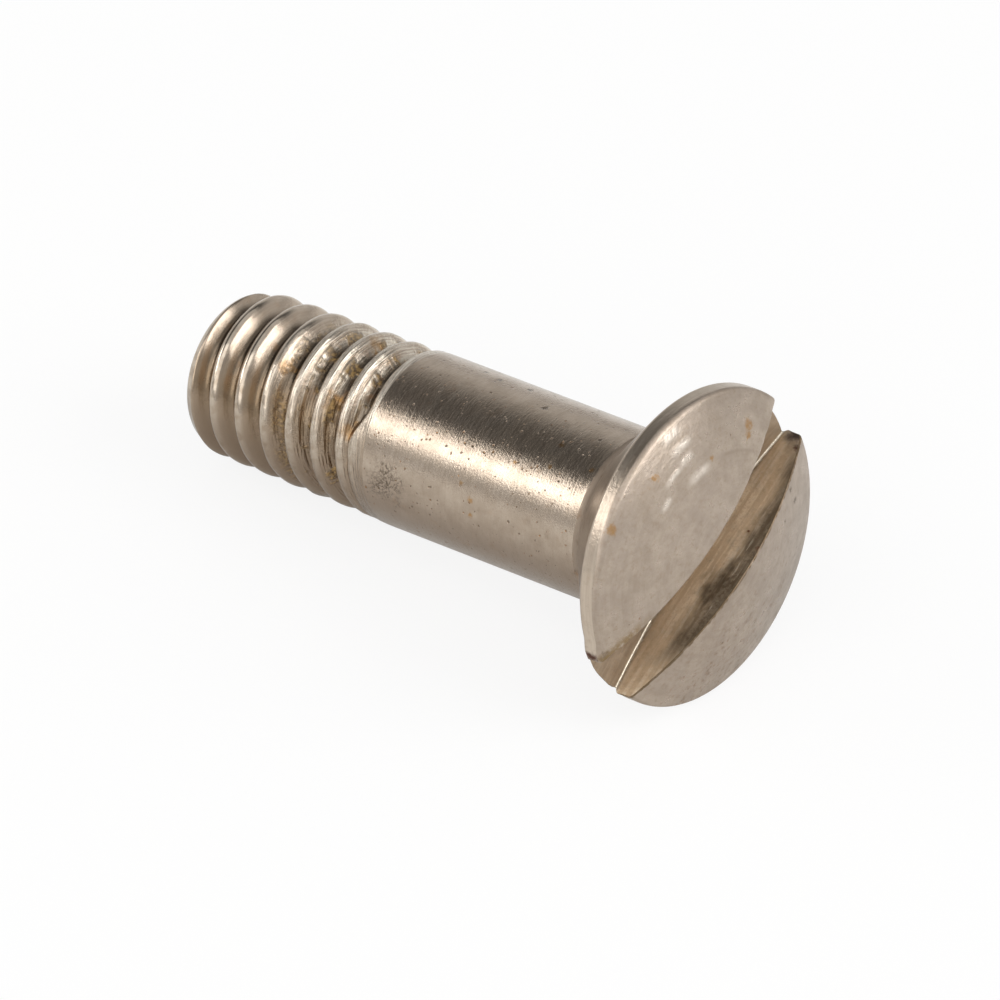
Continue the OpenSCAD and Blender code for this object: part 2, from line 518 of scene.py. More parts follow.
def blendColour(tree, factor, a, b):
    node = addNode(tree, "ShaderNodeMix", data_type="RGBA")
    for place, value in ((0, factor), (6, a), (7, b)):  # the colour sockets of the mix node
        feed(tree, node.inputs[place], value)
    return node.outputs[2]


def newGroup(name, outputs, **inputs):
    # numbers make value sockets, directions make vector sockets, and each group reads its place
    tree = bpy.data.node_groups.new(name, "ShaderNodeTree")
    tree.interface.new_socket("Place", in_out="INPUT", socket_type="NodeSocketVector")
    for label, value in inputs.items():
        kind = "NodeSocketFloat" if isinstance(value, float) else "NodeSocketVector"
        tree.interface.new_socket(label, in_out="INPUT", socket_type=kind).default_value = value
    for label in outputs:
        kind = "NodeSocketColor" if label == "Colour" else "NodeSocketFloat"
        tree.interface.new_socket(label, in_out="OUTPUT", socket_type=kind)
    return tree, tree.nodes.new("NodeGroupInput").outputs, tree.nodes.new("NodeGroupOutput").inputs


def noiseAt(tree, vector, scale, detail=3.0, rough=0.55):
    node = addNode(tree, "ShaderNodeTexNoise")
    wire(tree, vector, node.inputs["Vector"])
    node.inputs["Detail"].default_value = detail
    node.inputs["Roughness"].default_value = rough
    feed(tree, node.inputs["Scale"], scale)
    return node.outputs["Fac"]


def makeTurningMarks():
    # fine lines left by the tool, at right angles to Across
    tree, given, out = newGroup("turningMarks", ["Height", "Streak"], Across=0.0, Lines=9.0, Waver=0.3)
    parts = addNode(tree, "ShaderNodeSeparateXYZ")
    wire(tree, given["Place"], parts.inputs[0])

    def lines(factor):
        joined = addNode(tree, "ShaderNodeCombineXYZ")
        wire(tree, mul(tree, parts.outputs[0], given["Waver"]), joined.inputs[0])
        wire(tree, mul(tree, parts.outputs[1], given["Waver"]), joined.inputs[1])
        wire(tree, mul(tree, given["Across"], mul(tree, given["Lines"], factor)), joined.inputs[2])
        return noiseAt(tree, joined.outputs[0], 1.0, 2.0)

    coarse, fine = lines(1.0), lines(2.7)
    height = plus(tree, mul(tree, coarse, 0.6), mul(tree, fine, 0.4))
    wire(tree, height, out["Height"])
    wire(tree, rangeOf(tree, height, 0.36, 0.64), out["Streak"])
    return tree


def makePitMarks():
    # scattered small pits; Amount is the share of cells that have one
    tree, given, out = newGroup("pitMarks", ["Mask"], Scale=4.0, Amount=0.2, Size=0.3)
    cells = addNode(tree, "ShaderNodeTexVoronoi")
    shift = addNode(tree, "ShaderNodeTexNoise")
    wire(tree, given["Place"], shift.inputs["Vector"])
    shift.inputs["Scale"].default_value = 5.0
    bent = addNode(tree, "ShaderNodeMix", data_type="VECTOR")
    bent.inputs[0].default_value = 0.12
    wire(tree, given["Place"], bent.inputs[4])
    wire(tree, shift.outputs["Color"], bent.inputs[5])
    wire(tree, bent.outputs[1], cells.inputs["Vector"])
    wire(tree, given["Scale"], cells.inputs["Scale"])
    shade = addNode(tree, "ShaderNodeSeparateColor")
    wire(tree, cells.outputs["Color"], shade.inputs[0])
    chosen = calc(tree, "LESS_THAN", shade.outputs[0], given["Amount"])
    size = mul(tree, given["Size"], plus(tree, mul(tree, shade.outputs[1], 0.8), 0.3))
    inside = rangeOf(tree, cells.outputs["Distance"], mul(tree, size, 0.5), size, 1.0, 0.0)
    wire(tree, mul(tree, inside, chosen), out["Mask"])
    return tree


filmTone = {"brown": (0.105, 0.062, 0.030), "orange": (0.30, 0.135, 0.035)}


def makeBrownFilm():
    # thin brown film and rust that gathers in patches; Cover from 0 to 1
    tree, given, out = newGroup("brownFilm", ["Mask", "Colour"], Scale=2.0, Cover=0.3)
    patches = noiseAt(tree, given["Place"], given["Scale"], 5.0, 0.62)
    low = minus(tree, 0.78, mul(tree, given["Cover"], 0.6))
    mask = rangeOf(tree, patches, low, plus(tree, low, 0.2))
    wire(tree, mask, out["Mask"])
    hue = noiseAt(tree, given["Place"], mul(tree, given["Scale"], 2.3), 3.0)
    wire(tree, blendColour(tree, rangeOf(tree, hue, 0.4, 0.68), filmTone["brown"], filmTone["orange"]), out["Colour"])
    return tree


def makeRubbedEdge():
    # bright metal along edges that have been rubbed, broken up by grain
    tree, given, out = newGroup("rubbedEdge", ["Mask"], Edge=0.0, Amount=0.7)
    grain = noiseAt(tree, given["Place"], 3.2, 4.0)
    wire(tree, mul(tree, mul(tree, given["Edge"], given["Amount"]), rangeOf(tree, grain, 0.3, 0.6)), out["Mask"])
    return tree


def makeStainSpot():
    # one ragged spot around a point
    tree, given, out = newGroup("stainSpot", ["Mask"], Centre=(0, 0, 0), Radius=0.2, Ragged=0.6)
    away = vectorCalc(tree, "DISTANCE", given["Place"], given["Centre"])
    share = calc(tree, "DIVIDE", away, given["Radius"])
    grain = minus(tree, noiseAt(tree, given["Place"], calc(tree, "DIVIDE", 1.6, given["Radius"]), 3.0), 0.5)
    share = plus(tree, share, mul(tree, mul(tree, grain, 3.0), given["Ragged"]))
    wire(tree, rangeOf(tree, share, 0.2, 1.15, 1.0, 0.0), out["Mask"])
    return tree


def makeMetalGrain():
    # soft mottling and fine specks of worn plating
    tree, given, out = newGroup("metalGrain", ["Cloud", "Speck", "Height"], Mottle=0.8, Fine=8.0)
    wire(tree, rangeOf(tree, noiseAt(tree, given["Place"], given["Mottle"], 6.0, 0.62), 0.34, 0.66), out["Cloud"])
    fine = noiseAt(tree, given["Place"], given["Fine"], 4.0, 0.66)
    wire(tree, rangeOf(tree, fine, 0.52, 0.74), out["Speck"])
    wire(tree, fine, out["Height"])
    return tree


def makeSideFacing():
    # a mask for the side of the screw that points to Toward; it places painted shade on the shank and the thread
    tree, given, out = newGroup("sideFacing", ["Mask"], Toward=(-0.985, -0.174, 0), From=0.5, To=0.97)
    outward = vectorCalc(tree, "NORMALIZE", vectorCalc(tree, "MULTIPLY", given["Place"], (1, 1, 0)))
    facing = vectorCalc(tree, "DOT_PRODUCT", outward, given["Toward"])
    broken = minus(tree, noiseAt(tree, given["Place"], 2.4, 4.0), 0.5)
    facing = plus(tree, facing, mul(tree, broken, 0.3))
    wire(tree, rangeOf(tree, facing, given["From"], given["To"]), out["Mask"])
    return tree


groups = {
    "grain": makeMetalGrain(),
    "under": makeSideFacing(),
    "turning": makeTurningMarks(),
    "spot": makeStainSpot(),
    "pits": makePitMarks(),
    "film": makeBrownFilm(),
    "rubbed": makeRubbedEdge(),
}
print("finish groups:", ", ".join(g.name for g in groups.values()))


class Finish:
    # one metal finish: principled shader, place in mm, and the masks painted on the mesh
    def __init__(self, name, roughness):
        self.material = bpy.data.materials.new(name)
        self.material.use_nodes = True
        self.tree = self.material.node_tree
        self.shader = self.tree.nodes["Principled BSDF"]
        self.shader.inputs["Metallic"].default_value = 1.0
        self.roughness = roughness
        self.place = addNode(self.tree, "ShaderNodeAttribute", attribute_name="turned").outputs["Vector"]
        parts = addNode(self.tree, "ShaderNodeSeparateXYZ")
        wire(self.tree, self.place, parts.inputs[0])
        self.x, self.y, self.height = parts.outputs
        square = plus(self.tree, mul(self.tree, self.x, self.x), mul(self.tree, self.y, self.y))
        self.radius = calc(self.tree, "SQRT", square)
        for name in ("rub", "soil", "crust"):
            setattr(self, name, addNode(self.tree, "ShaderNodeAttribute", attribute_name=name).outputs["Fac"])

    def use(self, key, **values):
        node = addNode(self.tree, "ShaderNodeGroup")
        node.node_tree = groups[key]
        wire(self.tree, values.pop("Place", self.place), node.inputs["Place"])
        for label, value in values.items():
            feed(self.tree, node.inputs[label], value)
        return node.outputs

    def spots(self, places, ragged=0.5, **more):
        # all spots of a list as one mask
        made = [self.use("spot", Centre=p[:3], Radius=p[3], Ragged=ragged, **more) for p in places]
        return mostOf(self.tree, [one["Mask"] for one in made])

    def bump(self, height, distance, before=None):
        node = addNode(self.tree, "ShaderNodeBump")
        node.inputs["Strength"].default_value = 1.0
        node.inputs["Distance"].default_value = distance / 1000
        wire(self.tree, height, node.inputs["Height"])
        if before is not None:
            wire(self.tree, before, node.inputs["Normal"])
        return node.outputs[0]

    def lay(self, tone, mask, share=1.0):
        # one more layer of colour over those below it
        if share < 1.0:
            mask = mul(self.tree, mask, share)
        self.colour = blendColour(self.tree, mask, self.colour, tone)

    def close(self, roughness, normal):
        wire(self.tree, self.colour, self.shader.inputs["Base Color"])
        wire(self.tree, roughness, self.shader.inputs["Roughness"])
        wire(self.tree, normal, self.shader.inputs["Normal"])
        return self.material


metalTone = {"plain": (0.47, 0.385, 0.305), "dull": (0.35, 0.277, 0.208), "bright": (0.62, 0.54, 0.445)}
rustTone = {"dark": (0.085, 0.058, 0.036), "orange": (0.36, 0.19, 0.055)}

faceLook = {
    "lines": 7.0,
    "lineDepth": 0.005,
    "glintDepth": 0.008,  # mm, as all depths
    "grainDepth": 0.01,
    "pitDepth": 0.008,
    "rough": 0.27,
    "pits": 0.4,
    "light": (0.475, 0.393, 0.32),
    "worn": (0.363, 0.296, 0.236),
    "pinkish": (0.42, 0.349, 0.296),
    "shaded": (0.27, 0.214, 0.166),
    "shadeAlong": (0.66, 0.75, 0.0),  # painted shade: the dome grows darker against this direction
    # places in mm along the slot, across it and up the axis, then radius
    "orangeSpots": [
        (3.47, 2.06, 0.41, 0.24), (3.2, 1.9, 0.47, 0.18), (-0.07, 4.32, 0.31, 0.17),
        (1.71, 2.92, 0.62, 0.1), (-2.13, 4.4, 0.08, 0.2),
    ],
    "darkSpots": [
        (3.2, -1.86, 0.52, 0.12), (3.27, -1.3, 0.6, 0.1), (2.6, -2.3, 0.5, 0.07),
        (-2.5, -2.6, 0.4, 0.09), (2.4, -1.75, 0.7, 0.08), (-4.8, 1.2, 0.0, 0.22),
    ],
    # painted highlight strokes: radius, degrees, half length in degrees, half width
    "toolGlints": [
        (4.75, 74, 7, 0.2), (4.28, 73, 8, 0.2), (3.88, 74, 6, 0.18),
        (3.24, 71, 12, 0.22), (3.5, 97, 6, 0.16), (3.82, 84, 9, 0.13),
    ],
    # colour of the painted highlight strokes
    "glint": (0.84, 0.76, 0.67),
    "toolLine": (3.28, 40, 24, 0.09),  # one long dark line, given in the same way
    "edgeStain": (0.25, 0.17, 0.085),
    "soiled": (0.15, 0.105, 0.062),  # round along the slot
}


def makeFace():
    f = Finish("nickelFace", faceLook["rough"])
    t = f.tree
    marks = f.use("turning", Across=f.radius, Lines=faceLook["lines"], Waver=0.6)
    grain = f.use("grain", Mottle=1.5, Fine=5.5)
    tint = f.use("grain", Mottle=0.55, Fine=11.0)
    film = f.use("film", Scale=1.6, Cover=0.3)
    pits = f.use("pits", Scale=3.4, Amount=faceLook["pits"], Size=0.13)
    edge = f.use("rubbed", Edge=f.rub, Amount=0.12)
    orange = f.spots(faceLook["orangeSpots"], 0.8)
    dark = f.spots(faceLook["darkSpots"], 0.7)
    # painted highlight: short bright strokes on the marks left by the tool, which a bump also raises
    turn = calc(t, "ARCTAN2", f.y, f.x)

    def stroke(radius, degrees, reach, width):
        off = calc(t, "ABSOLUTE", minus(t, f.radius, radius))
        swing = calc(t, "ABSOLUTE", minus(t, turn, math.radians(degrees)))
        ends = rangeOf(t, swing, 0.2 * math.radians(reach), math.radians(reach), 1.0, 0.0)
        return mul(t, rangeOf(t, off, 0.0, width, 1.0, 0.0), ends)

    glints = mostOf(t, [stroke(*glint) for glint in faceLook["toolGlints"]])
    glints = mul(t, glints, rangeOf(t, grain["Height"], 0.3, 0.6, 0.3, 0.7))
    # brown stain on the slot's long edge, near its low end
    nearEdge = rangeOf(t, calc(t, "ABSOLUTE", minus(t, f.y, halfSlot + 0.1)), 0.02, 0.32, 1.0, 0.0)
    stain = mul(t, nearEdge, rangeOf(t, f.x, -2.9, -4.0))
    stain = mul(t, stain, rangeOf(t, grain["Height"], 0.3, 0.55))
    # painted shade: the dome is darkened against shadeAlong
    shaded = rangeOf(t, vectorCalc(t, "DOT_PRODUCT", f.place, faceLook["shadeAlong"]), 3.6, -6.2, 0.0, 0.4)
    f.colour = blendColour(t, grain["Cloud"], faceLook["light"], faceLook["worn"])
    f.lay(faceLook["pinkish"], tint["Cloud"], 0.45)
    f.lay(faceLook["shaded"], shaded)
    f.lay(metalTone["dull"], grain["Speck"], 0.6)
    f.lay(metalTone["dull"], tint["Speck"], 0.5)
    f.lay(metalTone["bright"], marks["Streak"], 0.1)
    f.lay(film["Colour"], film["Mask"], 0.2)
    f.lay(film["Colour"], pits["Mask"], 0.5)
    specks = f.use("film", Scale=5.2, Cover=0.46)
    lowHalf = mul(t, rangeOf(t, f.y, -1.2, -3.2, 0.14, 0.5), rangeOf(t, f.x, 3.0, -2.5, 0.45, 1.0))
    f.lay(specks["Colour"], mul(t, specks["Mask"], lowHalf))
    f.lay(metalTone["bright"], edge["Mask"])
    f.lay(faceLook["shaded"], stroke(*faceLook["toolLine"]), 0.4)
    f.lay(faceLook["glint"], glints)
    f.lay(rustTone["orange"], orange, 0.72)
    f.lay(rustTone["dark"], dark, 0.7)
    f.lay(faceLook["edgeStain"], stain, 0.85)
    soiled = mul(t, rangeOf(t, f.soil, 0.0, 0.5), rangeOf(t, grain["Height"], 0.3, 0.6, 0.75, 1.0))
    f.lay(faceLook["soiled"], soiled)
    rough = plus(t, mul(t, grain["Cloud"], 0.08), f.roughness)
    rough = plus(t, rough, mul(t, film["Mask"], 0.08))
    rough = plus(t, rough, mul(t, f.rub, 0.4))
    normal = f.bump(marks["Height"], faceLook["lineDepth"])
    normal = f.bump(glints, faceLook["glintDepth"], before=normal)
    normal = f.bump(grain["Height"], faceLook["grainDepth"], before=normal)
    normal = f.bump(minus(t, 1.0, pits["Mask"]), faceLook["pitDepth"], before=normal)
    return f.close(rough, normal)


slotLook = {
    "lines": 6.0,
    "lineDepth": 0.012,
    "grainDepth": 0.02,
    "rough": 0.5,
    "brown": (0.69, 0.53, 0.36),
    "pale": (0.97, 0.82, 0.63),
    "endBrown": (0.36, 0.255, 0.157),  # browner towards both ends
    "floor": (0.37, 0.295, 0.22),
    "floorDark": (0.225, 0.17, 0.122),
    # painted highlight colour of the scratches and the floor corner
    "shine": (0.60, 0.54, 0.44),
    "grimeAndShade": (0.075, 0.052, 0.029),
    "red": (0.13, 0.05, 0.022),
    "stain": (0.04, 0.021, 0.011),
    "grimeBand": (0.25, 1.0),  # mm below the wall's upper edge
    # the first length is along the slot, drawn in to 0.4
    "darkStain": (-0.2, -1.05, 0.8, 0.85),
    "glintPlaces": [(0.12, -1.05, 0.6, 0.36), (-0.62, -1.05, 0.85, 0.3)],
    "endStain": (4.95, -1.05, -0.15, 0.6),
    "redSpots": [(4.5, -1.05, 0.1, 0.12), (1.0, -1.05, 0.98, 0.12), (1.4, -1.05, 0.3, 0.07), (3.1, -1.05, 0.7, 0.08)],
}


def makeSlot():
    f = Finish("sawnSlot", slotLook["rough"])
    t = f.tree

    def drawn(along, across):
        joined = addNode(t, "ShaderNodeCombineXYZ")
        for socket, value, scale in zip(joined.inputs, (f.x, f.y, f.height), (along, across, across)):
            wire(t, mul(t, value, scale), socket)
        return joined.outputs[0]

    # saw lines run along the slot
    lines = noiseAt(t, drawn(0.45, slotLook["lines"]), 1.0, 4.0)
    short = drawn(0.4, 1.0)
    stain = f.spots([slotLook["darkStain"]], 0.7, Place=short)
    grain = f.use("grain", Mottle=1.2, Fine=7.0)
    film = f.use("film", Scale=1.3, Cover=0.55)
    streak = mul(t, rangeOf(t, lines, 0.4, 0.62), rangeOf(t, grain["Height"], 0.3, 0.62))
    # grime below the wall's upper edge
    square = minus(t, domeR**2, mul(t, f.radius, f.radius))
    below = minus(t, plus(t, calc(t, "SQRT", square), domeMid), f.height)
    ragged = mul(t, minus(t, noiseAt(t, drawn(0.9, 2.2), 1.0, 4.0), 0.5), 1.1)
    below = plus(t, below, rangeOf(t, f.x, 1.0, 3.4, 0.0, 0.38))  # narrower towards the far end
    band = rangeOf(t, plus(t, below, ragged), slotLook["grimeBand"][0], slotLook["grimeBand"][1], 1.0, 0.0)
    band = mul(t, band, rangeOf(t, f.x, 5.2, 3.6))
    band = mul(t, band, rangeOf(t, f.x, -4.2, -2.4))
    grimeAndShade = most(t, mul(t, band, 0.9), mul(t, stain, 0.95))
    grimeAndShade = mul(t, grimeAndShade, minus(t, 1.0, mul(t, streak, 0.15)))
    f.colour = blendColour(t, streak, slotLook["brown"], slotLook["pale"])
    f.lay(slotLook["endBrown"], grain["Speck"], 0.35)
    f.lay(film["Colour"], film["Mask"], 0.3)
    floor = blendColour(t, rangeOf(t, lines, 0.34, 0.6), slotLook["floorDark"], slotLook["floor"])
    floor = blendColour(t, mul(t, grain["Cloud"], 0.4), floor, slotLook["floorDark"])
    floor = blendColour(t, mul(t, grain["Speck"], 0.5), floor, slotLook["floorDark"])
    corner = rangeOf(t, calc(t, "ABSOLUTE", f.y), 0.5 * halfSlot, halfSlot, 0.0, 0.7)
    floor = blendColour(t, mul(t, corner, film["Mask"]), floor, slotLook["grimeAndShade"])
    f.colour = blendColour(t, f.soil, floor, f.colour)
    ends = plus(t, rangeOf(t, f.x, 1.5, 4.6, 0.0, 0.6), rangeOf(t, f.x, 0.2, -3.6, 0.0, 0.45))
    ends = mul(t, ends, rangeOf(t, grain["Height"], 0.3, 0.6, 0.5, 1.0))
    f.lay(slotLook["endBrown"], ends)
    f.lay(slotLook["grimeAndShade"], grimeAndShade)
    f.lay(slotLook["red"], f.spots(slotLook["redSpots"], 0.8))
    endStain = f.spots([slotLook["endStain"]])
    f.lay(slotLook["stain"], endStain)
    # bare metal with a painted highlight: thin scratches and the corner by the floor get a bright colour, more metal
    # and less roughness
    scratch = rangeOf(t, noiseAt(t, drawn(1.1, 13.0), 1.0, 2.0), 0.6, 0.7)
    places = f.spots(slotLook["glintPlaces"], Place=short)
    shine = most(t, f.rub, mul(t, scratch, places))
    f.lay(slotLook["shine"], shine)
    rough = plus(t, mul(t, film["Mask"], 0.12), f.roughness)
    rough = minus(t, rough, mul(t, shine, 0.2))
    bare = minus(t, 0.5, mul(t, film["Mask"], 0.3))
    bare = mul(t, bare, minus(t, 1.0, endStain))
    wire(t, most(t, bare, shine), f.shader.inputs["Metallic"])
    normal = f.bump(lines, slotLook["lineDepth"])
    normal = f.bump(grain["Height"], slotLook["grainDepth"], before=normal)
    return f.close(rough, normal)


rimLook = {
    "lines": 8.0,
    "lineDepth": 0.006,
    "grainDepth": 0.01,
    "rough": 0.28,
    "darkSpots": [(-4.92, 1.2, -0.4, 0.36), (-4.92, 1.2, -0.1, 0.24)],
    "spot": (0.07, 0.026, 0.014),
    "underHeadShade": (0.225, 0.168, 0.122),
}


def makeRim():
    f = Finish("turnedRim", rimLook["rough"])
    t = f.tree
    marks = f.use("turning", Across=f.height, Lines=rimLook["lines"], Waver=0.3)
    grain = f.use("grain", Mottle=1.0, Fine=7.0)
    film = f.use("film", Scale=1.4, Cover=0.42)
    dark = f.spots(rimLook["darkSpots"], 0.6)
    f.colour = blendColour(t, mul(t, marks["Streak"], 0.55), metalTone["plain"], metalTone["bright"])
    f.lay(metalTone["dull"], grain["Speck"], 0.35)
    # painted shade: the cone under the head is darkened
    under = rangeOf(t, f.height, -0.45, -0.8)
    f.lay(rimLook["underHeadShade"], under, 0.68)
    brown = mul(t, film["Mask"], plus(t, mul(t, f.soil, 0.5), 0.2))
    f.lay(film["Colour"], brown)
    f.lay(rimLook["spot"], dark)
    wire(t, minus(t, 1.0, mul(t, dark, 0.9)), f.shader.inputs["Metallic"])
    rough = plus(t, mul(t, film["Mask"], 0.12), f.roughness)
    rough = plus(t, rough, mul(t, f.soil, 0.4))
    rough = plus(t, rough, mul(t, dark, 0.6))
    normal = f.bump(marks["Height"], rimLook["lineDepth"])
    return f.close(rough, f.bump(grain["Height"], rimLook["grainDepth"], before=normal))


shankLook = {
    "lines": 12.0,
    "lineDepth": 0.0065,
    "grainDepth": 0.006,
    "pitDepth": 0.012,
    "rough": 0.13,
    "pits": 0.45,
    # painted shade colour for the underside of the shank and thread
    "grimeAndShade": (0.25, 0.19, 0.142),
    "pitCluster": (-2.33, 1.55, -10.4, 0.85),
    "rustSpots": [
        (-1.68, 2.24, -7.39, 0.09), (-1.99, 1.97, -6.95, 0.12), (-2.3, 1.59, -6.93, 0.11), (0.45, 2.76, -4.54, 0.12),
        (-0.6, 2.74, -5.71, 0.09), (-0.36, 2.78, -4.45, 0.09), (0.02, 2.8, -3.03, 0.11),
    ],
    "darkSpots": [
        (2.08, 1.87, -7.43, 0.13), (2.01, 1.94, -8.56, 0.1), (1.53, 2.35, -6.19, 0.13),
        (1.1, 2.57, -3.57, 0.09), (2.15, 1.79, -9.3, 0.08),
    ],
}


def makeShank():
    f = Finish("turnedShank", shankLook["rough"])
    t = f.tree
    marks = f.use("turning", Across=f.height, Lines=shankLook["lines"], Waver=2.0)
    grain = f.use("grain", Mottle=1.3, Fine=13.0)
    film = f.use("film", Scale=1.4, Cover=0.36)
    pits = f.use("pits", Scale=3.6, Amount=shankLook["pits"], Size=0.19)
    tiny = f.use("pits", Scale=8.0, Amount=0.35, Size=0.32)
    # painted shade: darker on the side that points to Toward, down to the table
    grimeAndShade = f.use("under")
    smudge = f.spots([shankLook["pitCluster"]])
    # the cluster is a tangle of short dark scratches
    tangle = calc(t, "ABSOLUTE", minus(t, noiseAt(t, f.place, 6.2, 4.0), 0.5))
    cluster = mul(t, smudge, rangeOf(t, tangle, 0.015, 0.08, 1.0, 0.0))
    cluster = mul(t, cluster, rangeOf(t, grain["Height"], 0.36, 0.54))
    rust = f.spots(shankLook["rustSpots"], 0.7)
    dark = most(t, cluster, f.spots(shankLook["darkSpots"], 0.9))
    f.colour = blendColour(t, mul(t, marks["Streak"], 0.3), metalTone["plain"], metalTone["bright"])
    f.lay(metalTone["dull"], grain["Cloud"], 0.45)
    f.lay(metalTone["dull"], grain["Speck"], 0.6)
    f.lay(metalTone["dull"], smudge, 0.35)
    f.lay(shankLook["grimeAndShade"], grimeAndShade["Mask"], 0.7)
    f.lay(film["Colour"], film["Mask"], 0.26)
    f.lay(film["Colour"], most(t, pits["Mask"], tiny["Mask"]), 0.7)
    f.lay(rustTone["dark"], dark, 0.8)
    f.lay(rustTone["orange"], rust, 0.7)
    rough = plus(t, mul(t, marks["Streak"], 0.06), f.roughness)
    rough = plus(t, rough, mul(t, grain["Cloud"], 0.06))
    normal = f.bump(marks["Height"], shankLook["lineDepth"])
    hollow = most(t, most(t, pits["Mask"], tiny["Mask"]), dark)
    normal = f.bump(minus(t, 1.0, hollow), shankLook["pitDepth"], before=normal)
    normal = f.bump(grain["Height"], shankLook["grainDepth"], before=normal)
    return f.close(rough, normal)


threadLook = {
    "lines": 9.0,
    "lineDepth": 0.014,
    "lumpDepth": 0.014,
    "scrapedZone": (-16.5, -13.5),  # heights between which bare ridges come in
    "rough": 0.17,
    "flankFilmAndShade": (0.25, 0.172, 0.1),  # brown film in the grooves, and painted shade on the side that points to Toward
    # dark of the root: dirt and painted shade
    "root": (0.08, 0.058, 0.037),
    "scrapedGlint": (0.92, 0.85, 0.73),  # bare ridges near the shank, light as a painted highlight
    "crustDark": (0.085, 0.05, 0.022),
    "crustGold": (0.4, 0.25, 0.085),
    "rustSpots": [
        (1.77, 1.91, -13.44, 0.4), (1.14, 2.34, -14.08, 0.32), (-0.27, 2.59, -15.42, 0.35),
        (-1.42, 2.18, -12.2, 0.36), (-0.72, 2.5, -13.08, 0.4), (1.78, 1.89, -15.28, 0.25),
    ],
}


def makeThread():
    f = Finish("wornThread", threadLook["rough"])
    t = f.tree
    # across the groove, the same on each turn
    turn = calc(t, "DIVIDE", calc(t, "ARCTAN2", f.y, f.x), 2 * math.pi)
    turns = minus(t, calc(t, "DIVIDE", f.height, threadSize["pitch"]), turn)
    wholeTurns = 20  # keeps the count above zero
    toGroove = wholeTurns + shankSize["length"] / threadSize["pitch"] + threadSize["grooveStop"] / 360
    grooveAcross = calc(t, "FRACT", plus(t, turns, toGroove))
    marks = f.use("turning", Across=grooveAcross, Lines=threadLook["lines"], Waver=0.6)
    grain = f.use("grain", Mottle=1.5, Fine=8.0)
    film = f.use("film", Scale=1.6, Cover=0.5)
    edge = f.use("rubbed", Edge=f.rub, Amount=0.7)
    rust = f.spots(threadLook["rustSpots"], 0.8)
    # painted shade: the side that points to Toward gets browner flanks, its underside darker
    side = f.use("under", From=-0.1, To=0.45)["Mask"]
    grimeAndShade = f.use("under", From=0.45, To=0.97)["Mask"]
    nearShank = rangeOf(t, f.height, *threadLook["scrapedZone"])
    f.colour = blendColour(t, mul(t, marks["Streak"], 0.4), metalTone["plain"], metalTone["bright"])
    f.lay(metalTone["dull"], grain["Speck"], 0.35)
    deep = rangeOf(t, f.soil, 0.0, 0.7)
    browned = mul(t, deep, plus(t, mul(t, side, 0.6), 0.15))
    f.lay(threadLook["flankFilmAndShade"], browned)
    f.lay(threadLook["flankFilmAndShade"], side, 0.46)
    # painted highlight on the bare ridges, less on the side that points to Toward
    scrapedGlint = mul(t, mul(t, marks["Streak"], nearShank), minus(t, 0.75, mul(t, side, 0.65)))
    f.lay(threadLook["scrapedGlint"], scrapedGlint)
    # dirt and painted shade in the root, thinner on the very top and towards the table
    facing = f.use("under", From=-0.88, To=-0.5)["Mask"]
    rootGrimeAndShade = mul(t, rangeOf(t, f.soil, 0.55, 0.95, 0.0, 0.84), plus(t, mul(t, facing, 0.65), 0.35))
    rootGrimeAndShade = mul(t, rootGrimeAndShade, minus(t, 1.0, mul(t, side, 0.75)))
    f.lay(threadLook["root"], rootGrimeAndShade)
    brown = mul(t, film["Mask"], plus(t, mul(t, deep, 0.5), 0.06))
    brown = mul(t, brown, plus(t, mul(t, nearShank, 0.4), 0.4))
    f.lay(film["Colour"], brown)
    f.lay(metalTone["bright"], edge["Mask"])
    f.lay(shankLook["grimeAndShade"], grimeAndShade, 0.7)
    rusty = mul(t, rust, plus(t, mul(t, f.soil, 0.45), 0.4))
    f.lay(rustTone["orange"], rusty)
    crustTone = blendColour(t, rangeOf(t, grain["Height"], 0.4, 0.62), threadLook["crustDark"], threadLook["crustGold"])
    f.lay(crustTone, f.crust, 0.85)
    rough = plus(t, mul(t, f.soil, 0.1), f.roughness)
    rough = plus(t, rough, mul(t, brown, 0.2))
    rough = minus(t, rough, mul(t, scrapedGlint, 0.06))
    wire(t, minus(t, 1.0, mul(t, f.crust, 0.5)), f.shader.inputs["Metallic"])
    ridges = mul(t, marks["Height"], plus(t, mul(t, nearShank, 6.0), 0.3))
    normal = f.bump(ridges, threadLook["lineDepth"])
    lumps = plus(t, mul(t, f.crust, 3.0), rangeOf(t, f.height, -16.8, -14.2, 0.2, 1.0))
    lumps = mul(t, grain["Height"], lumps)
    return f.close(rough, f.bump(lumps, threadLook["lumpDepth"], before=normal))


tipLook = {"lines": 6.0, "lineDepth": 0.006, "rough": 0.36}


def makeTip():
    f = Finish("facedTip", tipLook["rough"])
    t = f.tree
    marks = f.use("turning", Across=f.radius, Lines=tipLook["lines"], Waver=0.15)
    film = f.use("film", Scale=1.3, Cover=0.45)
    f.colour = blendColour(t, marks["Streak"], metalTone["dull"], metalTone["plain"])
    f.lay(film["Colour"], film["Mask"], 0.4)
    rough = plus(t, mul(t, film["Mask"], 0.12), f.roughness)
    return f.close(rough, f.bump(marks["Height"], tipLook["lineDepth"]))


for material in (makeFace(), makeSlot(), makeRim(), makeShank(), makeThread(), makeTip()):
    screw.data.materials.append(material)
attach(screw, "root")
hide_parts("screw")
print("finishes on the screw:", ", ".join(m.name for m in screw.data.materials))

tableLook = {"halfWidth": 0.6, "colour": (0.93, 0.93, 0.92), "whiteSeen": 0.85, "whiteInMetal": 0.12}


